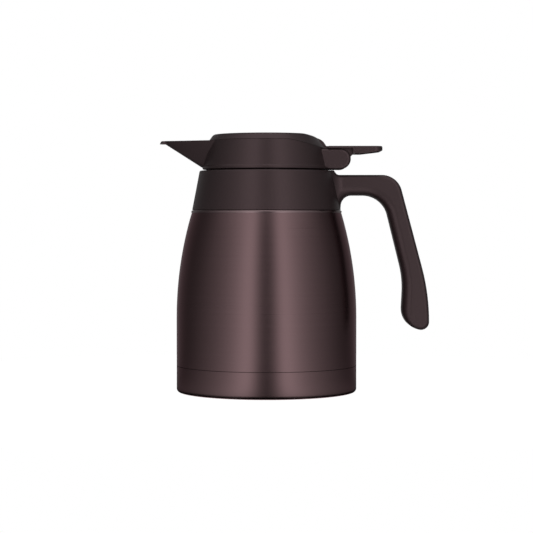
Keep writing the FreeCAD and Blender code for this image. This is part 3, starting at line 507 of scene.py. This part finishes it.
@dataclass
class Studio:
    """The camera at the photograph's place, the floor, the white surround, the lamps and the graded card.

    Angles are in degrees about the jug's axis, from the camera's direction.
    """

    image_px: int = 533
    metres_per_px: float = 0.0008346
    centre_z: float = 0.1044
    camera_distance: float = 1.50
    camera_z: float = 0.148
    view_depth: float = 50.0
    sensor_mm: float = 36.0
    floor_radius: float = 0.40
    floor_segments: int = 96
    floor_grey: float = 0.30
    floor_glow: float = 0.95
    surround_fill: float = 0.12
    lamp_angle: float = 20.0
    back_lamp_angle: float = 165.0
    lamp_distance: float = 1.9
    lamp_size: float = 0.9
    lamp_z: float = 0.55
    front_watts: float = 15.0
    back_watts: float = 9.0
    card_radius: float = 2.4
    card_top_z: float = 3.4
    card_opening_radius: float = 1.2
    card_inner_radius: float = 0.0700
    # Where the card fades to black next to the jug's foot, as painted shade.
    foot_shade_start: float = 0.0745
    foot_shade_end: float = 0.095
    card_lift: float = 0.0006
    card_columns: int = 96
    high_start_z: float = 1.5
    high_end_z: float = 2.0
    card_steps: tuple[GreyStep, ...] = (
        GreyStep(0, 0.12),
        GreyStep(6, 0.24),
        GreyStep(11, 0.52),
        GreyStep(17, 1.05),
        GreyStep(22, 1.20),
        GreyStep(28, 1.05),
        GreyStep(38, 0.73),
        GreyStep(50, 0.50),
        GreyStep(64, 0.34),
        GreyStep(82, 0.215),
        GreyStep(100, 0.120),
        GreyStep(118, 0.085),
        GreyStep(136, 0.14),
        GreyStep(157, 0.21),
        GreyStep(180, 0.26),
    )
    high_steps: tuple[GreyStep, ...] = (
        GreyStep(0, 0.25),
        GreyStep(14, 0.70),
        GreyStep(22, 1.05),
        GreyStep(60, 0.88),
        GreyStep(92, 0.60),
        GreyStep(112, 0.26),
        GreyStep(135, 0.11),
        GreyStep(180, 0.10),
    )

    def build(self) -> None:
        """Builds everything."""
        self.camera()
        self.floor()
        self.world()
        self.graded_card()
        for side in (-1, 1):
            self.lamp(side * self.lamp_angle, self.front_watts)
            self.lamp(side * self.back_lamp_angle, self.back_watts)
        log.info("studio built")

    def camera(self) -> None:
        """Places the camera so that the jug's axis has the photograph's scale at the picture's middle."""
        data = bpy.data.cameras.new("camera")
        data.sensor_width = self.sensor_mm
        data.lens = self.sensor_mm * self.camera_distance / (self.image_px * self.metres_per_px)
        data.clip_end = self.view_depth
        camera = bpy.data.objects.new("camera", data)
        camera.location = (0.0, -self.camera_distance, self.camera_z)
        self.aim(camera)
        bpy.context.scene.camera = camera

    def aim(self, item: Object) -> None:
        """Turns an object that stands in its place to the picture's middle and puts it in the scene.

        Args:
            item: the camera or a lamp.
        """
        way = Vector((0.0, 0.0, self.centre_z)) - item.location
        item.rotation_euler = way.to_track_quat("-Z", "Y").to_euler()
        bpy.context.scene.collection.objects.link(item)

    def place(self, angle: float, radius: float, z: float) -> Vector:
        """A point round the jug.

        Args:
            angle: from the camera's direction towards the handle.
            radius: from the jug's axis.
            z: the height.

        Returns:
            The point.
        """
        turn = math.radians(angle)
        return Vector((radius * math.sin(turn), -radius * math.cos(turn), z))

    def white_to_view(self, tree: NodeTree) -> NodeSocket:
        """Tells the rays that see a thing white from the rest.

        Args:
            tree: the node tree that asks.

        Returns:
            A value that is 1 for rays from the camera, off gloss and through clear matter, and else 0.
        """
        rays = tree.nodes.new("ShaderNodeLightPath").outputs
        seen = arithmetic(tree, "MAXIMUM", rays["Is Camera Ray"], rays["Is Glossy Ray"])
        return arithmetic(tree, "MAXIMUM", seen, rays["Is Transmission Ray"])

    def stage_mesh(self, name: str, shape: BMesh) -> Object:
        """Turns a bmesh into an object of the studio with a bare material.

        Args:
            name: the object's and the material's name.
            shape: its form, which is freed.

        Returns:
            The object; its material's tree holds only the output.
        """
        mesh = bpy.data.meshes.new(name)
        shape.to_mesh(mesh)
        shape.free()
        item = bpy.data.objects.new(name, mesh)
        bpy.context.scene.collection.objects.link(item)
        material = bpy.data.materials.new(name)
        material.use_nodes = True
        material.node_tree.nodes.remove(material.node_tree.nodes["Principled BSDF"])
        mesh.materials.append(material)
        return item

    def floor(self) -> None:
        """A round pale floor that is white in view and keeps a faint shadow of the jug."""
        shape = bmesh.new()
        bmesh.ops.create_circle(shape, cap_ends=True, radius=self.floor_radius, segments=self.floor_segments)
        floor = self.stage_mesh("floor", shape)
        tree = floor.data.materials[0].node_tree
        diffuse = tree.nodes.new("ShaderNodeBsdfDiffuse")
        diffuse.inputs["Color"].default_value = (self.floor_grey, self.floor_grey, self.floor_grey, 1.0)
        glow = tree.nodes.new("ShaderNodeEmission")
        glow.inputs["Color"].default_value = (self.floor_glow, self.floor_glow, self.floor_glow, 1.0)
        tree.links.new(self.white_to_view(tree), glow.inputs["Strength"])
        total = tree.nodes.new("ShaderNodeAddShader")
        tree.links.new(diffuse.outputs[0], total.inputs[0])
        tree.links.new(glow.outputs[0], total.inputs[1])
        tree.links.new(total.outputs[0], tree.nodes["Material Output"].inputs["Surface"])

    def world(self) -> None:
        """A white surround for what is seen, and a plain level of fill for the rest."""
        world = bpy.data.worlds.new("surround")
        world.use_nodes = True
        tree = world.node_tree
        background = tree.nodes["Background"]
        background.inputs["Color"].default_value = (1.0, 1.0, 1.0, 1.0)
        level = ranged(tree, self.white_to_view(tree), {"To Min": self.surround_fill})
        tree.links.new(level, background.inputs["Strength"])
        bpy.context.scene.world = world

    def lamp(self, angle: float, watts: float) -> None:
        """One soft lamp, which lights the plastic but shows in no reflection.

        Args:
            angle: where it stands.
            watts: its power.
        """
        data = bpy.data.lights.new("soft_lamp", "AREA")
        data.size = self.lamp_size
        data.energy = watts
        lamp = bpy.data.objects.new("soft_lamp", data)
        lamp.location = self.place(angle, self.lamp_distance, self.lamp_z)
        lamp.visible_glossy = False
        self.aim(lamp)

    def graded(self, tree: NodeTree, share: NodeSocket, steps: tuple[GreyStep, ...]) -> NodeSocket:
        """Turns an angle into the grey of a row of steps.

        Args:
            tree: the card's node tree.
            share: the angle from the camera's direction, as a share of half a turn.
            steps: the steps, in order; there are at least two.

        Returns:
            The socket with the grey.
        """
        ramp = tree.nodes.new("ShaderNodeValToRGB")
        stops = ramp.color_ramp.elements
        for number, step in enumerate(steps):
            stop = stops[number] if number < len(stops) else stops.new(1.0)
            stop.position = step.angle / HALF_TURN
            stop.color = (step.level, step.level, step.level, 1.0)
        tree.links.new(share, ramp.inputs["Fac"])
        return ramp.outputs["Color"]

    def graded_card(self) -> None:
        """A tent of card round the jug, open above and seen only in reflections.

        It runs along the floor, up and in overhead. It is brightest to both sides of the camera, and dark at
        the camera itself and beside the jug. High up, the high steps take the place of the card steps. Close
        round the jug's foot it fades to black: a painted shade that the steel's foot reflects as a dark
        line.
        """
        section = (
            (self.card_inner_radius, self.card_lift),
            (self.card_radius, self.card_lift),
            (self.card_radius, self.card_top_z),
            (self.card_opening_radius, self.card_top_z),
        )
        shape = bmesh.new()
        rows = []
        for column in range(self.card_columns + 1):
            angle = 2.0 * HALF_TURN * column / self.card_columns
            rows.append([shape.verts.new(self.place(angle, radius, z)) for radius, z in section])
        for first, second in zip(rows, rows[1:]):
            for low in range(len(section) - 1):
                shape.faces.new((first[low], second[low], second[low + 1], first[low + 1]))
        card = self.stage_mesh("graded_card", shape)
        tree = card.data.materials[0].node_tree
        place = tree.nodes.new("ShaderNodeTexCoord")
        split = tree.nodes.new("ShaderNodeSeparateXYZ")
        length = tree.nodes.new("ShaderNodeVectorMath")
        length.operation = "LENGTH"
        for node in (split, length):
            tree.links.new(place.outputs["Object"], node.inputs[0])
        back = arithmetic(tree, "MULTIPLY", split.outputs["Y"], -1.0)
        turn = arithmetic(tree, "ARCTAN2", split.outputs["X"], back)
        share = arithmetic(tree, "DIVIDE", arithmetic(tree, "ABSOLUTE", turn), math.pi)
        high = ranged(tree, split.outputs["Z"], {"From Min": self.high_start_z, "From Max": self.high_end_z})
        level = mixed(tree, high, self.graded(tree, share, self.card_steps),
                      self.graded(tree, share, self.high_steps))
        # Fades the card to black next to the jug's foot: painted shade, which the steel reflects as a dark
        # foot line.
        painted_foot_shade = ranged(tree, length.outputs["Value"],
                      {"From Min": self.foot_shade_start, "From Max": self.foot_shade_end})
        glow = tree.nodes.new("ShaderNodeEmission")
        tree.links.new(level, glow.inputs["Color"])
        tree.links.new(painted_foot_shade, glow.inputs["Strength"])
        tree.links.new(glow.outputs[0], tree.nodes["Material Output"].inputs["Surface"])
        card.visible_camera = False
        card.visible_diffuse = False
        card.visible_shadow = False
        card.visible_transmission = False


@dataclass
class SubAssembly:
    """A group of pieces of the jug: their finishes, and the pieces that only the scene holds."""

    body: str
    finishes: dict[str, Finish]

    def dress(self) -> None:
        """Gives every node of the group its finish."""
        for node, finish in self.finishes.items():
            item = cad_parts[node]
            material = finish.finished()
            item.data.materials.clear()
            item.data.materials.append(material)
            log.info("%s: %s, rides on %s", node, material.name, self.body)

    def add_piece(self, name: str, shape: BMesh, finish: Finish, slot: str, sharp_angle: float) -> Object:
        """Makes a piece that only the scene holds, and lets it ride on the group's body.

        Args:
            name: the piece's name.
            shape: its form in metres, which is freed.
            finish: its finish.
            slot: not used.
            sharp_angle: edges that bend more than this, in degrees, stay sharp.

        Returns:
            The new object.
        """
        bmesh.ops.recalc_face_normals(shape, faces=shape.faces)
        mesh = bpy.data.meshes.new(name)
        shape.to_mesh(mesh)
        shape.free()
        mesh.shade_smooth()
        mesh.set_sharp_from_angle(angle=math.radians(sharp_angle))
        mesh.materials.append(finish.finished())
        piece = bpy.data.objects.new(name, mesh)
        bpy.context.scene.collection.objects.link(piece)
        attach(piece, self.body)
        log.info("%s: built, rides on %s", name, self.body)
        return piece

    def copied_piece(self, node: str, name: str, slot: str) -> Object:
        """Copies a dressed node's mesh into a piece that stands for the node.

        Args:
            node: the CAD node.
            name: the new piece's name.
            slot: not used.

        Returns:
            The new object, with a mesh of its own.
        """
        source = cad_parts[node]
        piece = bpy.data.objects.new(name, source.data.copy())
        piece.matrix_world = source.matrix_world
        bpy.context.scene.collection.objects.link(piece)
        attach(piece, self.body)
        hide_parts(node)
        log.info("%s: copied from %s, rides on %s", name, node, self.body)
        return piece

    def build(self) -> None:
        """Dresses the group. A group with pieces of its own builds them here too."""
        self.dress()


def turned_shell(outline: Outline, steps: int) -> BMesh:
    """Turns a closed outline round the jug's axis.

    Args:
        outline: radius and height of its corners, in millimetres.
        steps: how many columns of faces go round.

    Returns:
        The closed form, in metres.
    """
    shape = bmesh.new()
    columns = []
    for step in range(steps):
        turn = 2.0 * math.pi * step / steps
        columns.append([shape.verts.new((radius * MM * math.cos(turn), radius * MM * math.sin(turn), z * MM))
                        for radius, z in outline])
    for number, column in enumerate(columns):
        beside = columns[(number + 1) % steps]
        for corner in range(len(outline)):
            after = (corner + 1) % len(outline)
            shape.faces.new((column[corner], beside[corner], beside[after], column[after]))
    return shape


@dataclass
class SteelBody(SubAssembly):
    """The double-walled steel vessel: shell, base, inner vessel, foil, getter and the base's seal.

    Two fine pieces are built here: the rolled upper edge of the shell, on which the collar stands, in a
    lighter copy of the brown steel that paints a highlight on it, and a near-black ring in the seam above
    the base, which paints the seam's shade. Their outlines are radii and heights in millimetres.
    """

    body: str = "jug"
    finishes: dict[str, Finish] = field(default_factory=lambda: {
        "outer_shell": BROWN_STEEL,
        "base_cup": BROWN_STEEL,
        "vacuum_seal_plug": BARE_STEEL,
        "getter": BARE_STEEL,
        "inner_vessel": BARE_STEEL,
        "radiation_foil": FOIL,
    })
    edge_outline: Outline = (
        (61.3, 151.42),
        (61.6, 151.40),
        (62.0, 151.15),
        (62.6, 150.50),
        (62.72, 150.25),
        (62.7, 149.95),
        (62.45, 149.2),
        (61.9, 149.2),
    )
    # The near-black ring in the seam above the base, which paints the seam's shade.
    seam_shade_outline: Outline = (
        (74.3, 22.03),
        (74.86, 22.03),
        (74.93, 22.2),
        (74.86, 22.37),
        (74.3, 22.37),
    )
    steps: int = 384

    def rolled_edge(self) -> Object:
        """Builds the shell's rolled upper edge, in a lighter copy of the brown steel: a painted highlight
        along the lip.
        """
        return self.add_piece("shell_rolled_edge", turned_shell(self.edge_outline, self.steps), EDGE_HIGHLIGHT_STEEL,
                              "brown_brushed_steel", sharp_angle=60.0)

    def seam_shade_ring(self) -> Object:
        """Builds a near-black ring in the seam above the base: painted shade of the seam's groove."""
        return self.add_piece("base_seam_shade", turned_shell(self.seam_shade_outline, self.steps), SEAM_SHADE_STEEL,
                              "brown_brushed_steel", sharp_angle=60.0)

    def build(self) -> None:
        """Dresses the vessel and builds its fine pieces."""
        self.dress()
        self.rolled_edge()
        self.seam_shade_ring()


@dataclass
class CollarAndHandle(SubAssembly):
    """The collar with its handle, the handle's inner cover, and the ring and seal on the steel neck."""

    body: str = "jug"
    finishes: dict[str, Finish] = field(default_factory=lambda: {
        "collar_and_handle": COLLAR_PLASTIC,
        "handle_inner_cover": DARK_PLASTIC,
        "neck_ring": DARK_PLASTIC,
        "neck_seal": SILICONE,
    })


@dataclass
class CoverShape:
    """The outer form of the head's cover, in the CAD's frame, in millimetres and degrees.

    Its slanted edge starts at the groove above the ring, follows the seam's dip towards the rear, and gets
    steeper there. Its top is a low crown in front and falls ever more steeply at the rear. Between the two
    runs a rounding, which takes at most round_limit of the edge's height and reaches round_reach times as
    far inwards.
    """

    ring_radius: float = 48.45
    ring_spread: float = 0.1751
    seam_z: float = 208.92
    seam_low_z: float = 202.02
    dip_corner_x: float = 19.45
    dip_end_x: float = 49.85
    dip_round: float = 30.0
    edge_profile: Outline = (
        (0.0, 1.2),
        (0.32, 1.2),
        (0.33, 0.45),
        (0.5, 0.79),
        (5.25, 4.3),
    )
    rear_share: float = -0.12
    rear_angle: float = 12.0
    side_angle: float = 40.0
    crown_z: float = 214.9
    crown_fall: float = 0.0159
    fall_points: Outline = (
        (26.0, 0.0),
        (31.0, 0.2),
        (35.0, 0.92),
        (40.0, 2.12),
        (44.0, 3.50),
        (46.7, 5.05),
        (48.4, 7.00),
        (49.85, 9.40),
    )
    edge_round: float = 1.3
    rear_round: float = 0.5
    round_reach: float = 1.3
    round_limit: float = 0.4
    round_steps: tuple[float, ...] = (0.25, 0.5, 0.75)
    lowest_corner: float = 0.5
    highest_corner: float = 20.0
    seam_passes: int = 12
    corner_passes: int = 40

    def __post_init__(self) -> None:
        """Works out the dip's slope, its rounding's reach and the fall's slope at each of its points."""
        self.dip_slope = (self.seam_z - self.seam_low_z) / (self.dip_end_x - self.dip_corner_x)
        self.dip_reach = self.dip_round * math.tan(math.atan(self.dip_slope) / 2.0)
        steps = list(zip(self.fall_points, self.fall_points[1:]))
        slopes = [(after[1] - before[1]) / (after[0] - before[0]) for before, after in steps]
        self.fall_slopes = [0.0, *((a + b) / 2.0 for a, b in zip(slopes, slopes[1:])), slopes[-1]]

    def seam(self, x: float) -> float:
        """The seam's height.

        Args:
            x: a place along the jug.

        Returns:
            The height there.
        """
        start = self.dip_corner_x - self.dip_reach
        end = self.dip_corner_x + self.dip_reach * math.cos(math.atan(self.dip_slope))
        if x <= start:
            return self.seam_z
        if x < end:
            return self.seam_z - self.dip_round + math.sqrt(self.dip_round ** 2 - (x - start) ** 2)
        return max(self.seam_z - (x - self.dip_corner_x) * self.dip_slope, self.seam_low_z)

    def fall(self, x: float) -> float:
        """How far the top has fallen below its crown.

        Args:
            x: a place along the jug.

        Returns:
            The fall there, on a smooth curve through the points.
        """
        if x <= self.fall_points[0][0]:
            return 0.0
        for number, ((start, low), (end, high)) in enumerate(zip(self.fall_points, self.fall_points[1:])):
            if x < end:
                way = (x - start) / (end - start)
                lean, next_lean = (slope * (end - start) for slope in self.fall_slopes[number:number + 2])
                return (low + way * lean + way ** 2 * (3.0 * (high - low) - 2.0 * lean - next_lean)
                        + way ** 3 * (2.0 * (low - high) + lean + next_lean))
        return self.fall_points[-1][1]

    def top(self, x: float, radius: float) -> float:
        """The height of the cover's top at a place along the jug and a distance from its axis."""
        return self.crown_z - self.crown_fall * radius - self.fall(x)

    def inset(self, height: float) -> float:
        """How far the slanted edge has come in.

        Args:
            height: a height above the seam.

        Returns:
            The way inwards; above the profile's last point it goes on in its last slope.
        """
        for (low, start), (high, end) in zip(self.edge_profile, self.edge_profile[1:]):
            if height <= high:
                break
        return start + (end - start) * (height - low) / (high - low)

    def from_rear(self, angle: float) -> float:
        """How far a section is from the rear's form.

        Args:
            angle: the section's angle from the rear, in radians.

        Returns:
            A share that is 0 at the rear and 1 at the sides.
        """
        span = math.radians(self.side_angle - self.rear_angle)
        way = min(max((abs(angle) - math.radians(self.rear_angle)) / span, 0.0), 1.0)
        return way * way * (3.0 - 2.0 * way)

    def column(self, angle: float, edge_rows: int, top_rows: int) -> list[tuple[float, float]]:
        """One section of the cover from the seam to its middle.

        Args:
            angle: the section's angle from the rear, in radians.
            edge_rows: how many steps the slanted edge has.
            top_rows: how many steps the top has.

        Returns:
            Radius and height of its points, always the same number of them.
        """
        along = math.cos(angle)
        radius = self.ring_radius
        for _ in range(self.seam_passes):
            low = self.seam(radius * along)
            radius = self.ring_radius + (self.seam_z - low) * self.ring_spread
        aside = self.from_rear(angle)
        share = self.rear_share + (1.0 - self.rear_share) * aside

        def edge(height: float) -> tuple[float, float]:
            """The slanted edge's point at a height above the seam."""
            return radius - self.inset(height) * share, low + height

        corner_height, above = self.lowest_corner, self.highest_corner
        for _ in range(self.corner_passes):
            middle = (corner_height + above) / 2.0
            r, z = edge(middle)
            if z < self.top(r * along, r):
                corner_height = middle
            else:
                above = middle
        corner = edge(corner_height)
        bend = self.rear_round + (self.edge_round - self.rear_round) * aside
        bend = min(bend, corner_height * self.round_limit)
        points = [edge(height) for height, _ in self.edge_profile[:-1]]
        first, last = self.edge_profile[-2][0], corner_height - bend
        for row in range(1, edge_rows + 1):
            points.append(edge(first + (last - first) * row / edge_rows))
        inner = corner[0] - bend * self.round_reach
        start = points[-1]
        end = (inner, self.top(inner * along, inner))
        for way in self.round_steps:
            points.append(tuple((1.0 - way) ** 2 * a + 2.0 * way * (1.0 - way) * b + way * way * c
                                for a, b, c in zip(start, corner, end)))
        for row in range(top_rows):
            r = inner * (1.0 - row / top_rows)
            points.append((r, self.top(r * along, r)))
        return points


@dataclass
class PouringHead(SubAssembly):
    """The head's ring with its spout and lugs, its cover, the lever's pin and the stem's guide.

    Lengths are in millimetres. Within thin_radius of the axis the cover's inner side draws in less than its
    wall is thick, and it keeps least_radius.
    """

    body: str = "head"
    finishes: dict[str, Finish] = field(default_factory=lambda: {
        "pour_head": DARK_PLASTIC,
        "top_cover": DARK_PLASTIC,
        "lever_pin": PIN_STEEL,
        "stem_guide": DARK_PLASTIC,
    })
    cover: CoverShape = field(default_factory=CoverShape)
    cover_steps: int = 240
    edge_rows: int = 7
    top_rows: int = 26
    cover_wall: float = 1.9
    thin_radius: float = 12.0
    least_radius: float = 0.1

    def cover_cap(self) -> Object:
        """Builds the cover, which stands for the plainer solid of the CAD.

        Returns:
            The new piece.
        """
        shape = bmesh.new()
        outer, inner = [], []
        top_z = self.cover.top(0.0, 0.0)
        groove_end = len(self.cover.edge_profile) - 2
        for step in range(self.cover_steps):
            angle = 2.0 * math.pi * step / self.cover_steps
            column = self.cover.column(angle, self.edge_rows, self.top_rows)
            across, deep = math.cos(angle) * MM, math.sin(angle) * MM
            outer.append([shape.verts.new((r * across, r * deep, z * MM)) for r, z in column])
            low = column[0][1]
            under = [(column[0][0] - self.cover_wall, low)]
            for r, z in column[groove_end:]:
                inset = self.cover_wall * min(1.0, r / self.thin_radius)
                under.append((max(r - inset, self.least_radius), max(z - self.cover_wall, low)))
            inner.append([shape.verts.new((r * across, r * deep, z * MM)) for r, z in under])
        peak = shape.verts.new((0.0, 0.0, top_z * MM))
        hollow = shape.verts.new((0.0, 0.0, (top_z - self.cover_wall) * MM))
        for number in range(self.cover_steps):
            beside = (number + 1) % self.cover_steps
            for rows, middle in ((outer, peak), (inner, hollow)):
                first, second = rows[number], rows[beside]
                for row in range(len(first) - 1):
                    shape.faces.new((first[row], second[row], second[row + 1], first[row + 1]))
                shape.faces.new((first[-1], second[-1], middle))
            shape.faces.new((outer[number][0], outer[beside][0], inner[beside][0], inner[number][0]))
        piece = self.add_piece("cover_cap", shape, DARK_PLASTIC, "dark_satin_plastic", sharp_angle=24.0)
        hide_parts("top_cover")
        return piece

    def build(self) -> None:
        """Dresses the head and builds its cover."""
        self.dress()
        self.cover_cap()


@dataclass
class ThumbLever(SubAssembly):
    """The lever that the thumb presses. Lengths are in millimetres.

    The front edge of its paddle is built here: it follows the round of the cover that it stands behind. Its
    upper rounding has one middle point, which lies round_share of the rounding from both faces.
    """

    body: str = "lever"
    finishes: dict[str, Finish] = field(default_factory=lambda: {"thumb_lever": DARK_PLASTIC})
    front_radius: float = 50.3
    front_half_width: float = 16.4
    front_back_x: float = 52.5
    front_top_z: float = 204.22
    front_low_z: float = 202.38
    front_round: float = 0.3
    round_share: float = 0.3
    front_steps: int = 24

    def paddle_front(self) -> Object:
        """Builds the paddle's front edge.

        Returns:
            The new piece.
        """
        shape = bmesh.new()
        sections = []
        middle = self.round_share * self.front_round
        for step in range(self.front_steps + 1):
            y = self.front_half_width * (2.0 * step / self.front_steps - 1.0)
            front = math.sqrt(self.front_radius ** 2 - y * y)
            outline = (
                (front, self.front_low_z),
                (front, self.front_top_z - self.front_round),
                (front + middle, self.front_top_z - middle),
                (front + self.front_round, self.front_top_z),
                (self.front_back_x, self.front_top_z),
                (self.front_back_x, self.front_low_z),
            )
            sections.append([shape.verts.new((x * MM, y * MM, z * MM)) for x, z in outline])
        for first, second in zip(sections, sections[1:]):
            for number in range(len(first)):
                after = (number + 1) % len(first)
                shape.faces.new((first[number], second[number], second[after], first[after]))
        shape.faces.new(sections[0])
        shape.faces.new(sections[-1])
        return self.add_piece("paddle_front", shape, DARK_PLASTIC, "dark_satin_plastic", sharp_angle=50.0)

    def build(self) -> None:
        """Dresses the lever and builds its front edge."""
        self.dress()
        self.paddle_front()


@dataclass
class Stopper(SubAssembly):
    """The stopper below the head: its threaded cup, pouring tube, insulation and return spring.

    Lengths are in millimetres.
    """

    body: str = "head"
    finishes: dict[str, Finish] = field(default_factory=lambda: {
        "stopper_cup": STOPPER_PLASTIC,
        "pour_tube": DARK_PLASTIC,
        "stopper_foam": FOAM,
        "valve_spring": SPRING_STEEL,
    })
    spring_low_z: float = 154.0
    spring_top_z: float = 180.4
    valve_travel: float = 10.6

    def return_spring(self) -> Object:
        """Copies the valve spring into a piece with a mesh of its own.

        Returns:
            The new piece.
        """
        piece = self.copied_piece("valve_spring", "return_spring", "plain_steel")
        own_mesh(piece)
        return piece

    def build(self) -> None:
        """Dresses the stopper and builds its spring."""
        self.dress()
        self.return_spring()


@dataclass
class StopperRing(SubAssembly):
    """The ring gasket round the stopper."""

    body: str = "gasket_ring"
    finishes: dict[str, Finish] = field(default_factory=lambda: {"stopper_gasket": SILICONE})


@dataclass
class PouringValve(SubAssembly):
    """The valve that the lever lifts: disc, gasket, rod and cap."""

    body: str = "valve"
    finishes: dict[str, Finish] = field(default_factory=lambda: {
        "valve_poppet": DARK_PLASTIC,
        "valve_gasket": SILICONE,
        "valve_stem": BARE_STEEL,
        "stem_cap": DARK_PLASTIC,
    })


def main() -> None:
    """Sets the view, builds the studio and then the sub-assemblies in order, and logs the nodes without a
    finish.
    """
    logging.basicConfig(level=logging.INFO, format="%(message)s")
    bpy.context.scene.view_settings.view_transform = "Standard"
    Studio().build()
    groups = (SteelBody(), CollarAndHandle(), PouringHead(), ThumbLever(), Stopper(), StopperRing(),
              PouringValve())
    for group in groups:
        group.build()
    dressed = {node for group in groups for node in group.finishes}
    missed = sorted(set(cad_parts) - dressed)
    log.info("nodes without a finish: %s", ", ".join(missed) or "none")


if __name__ == "__main__":
    main()
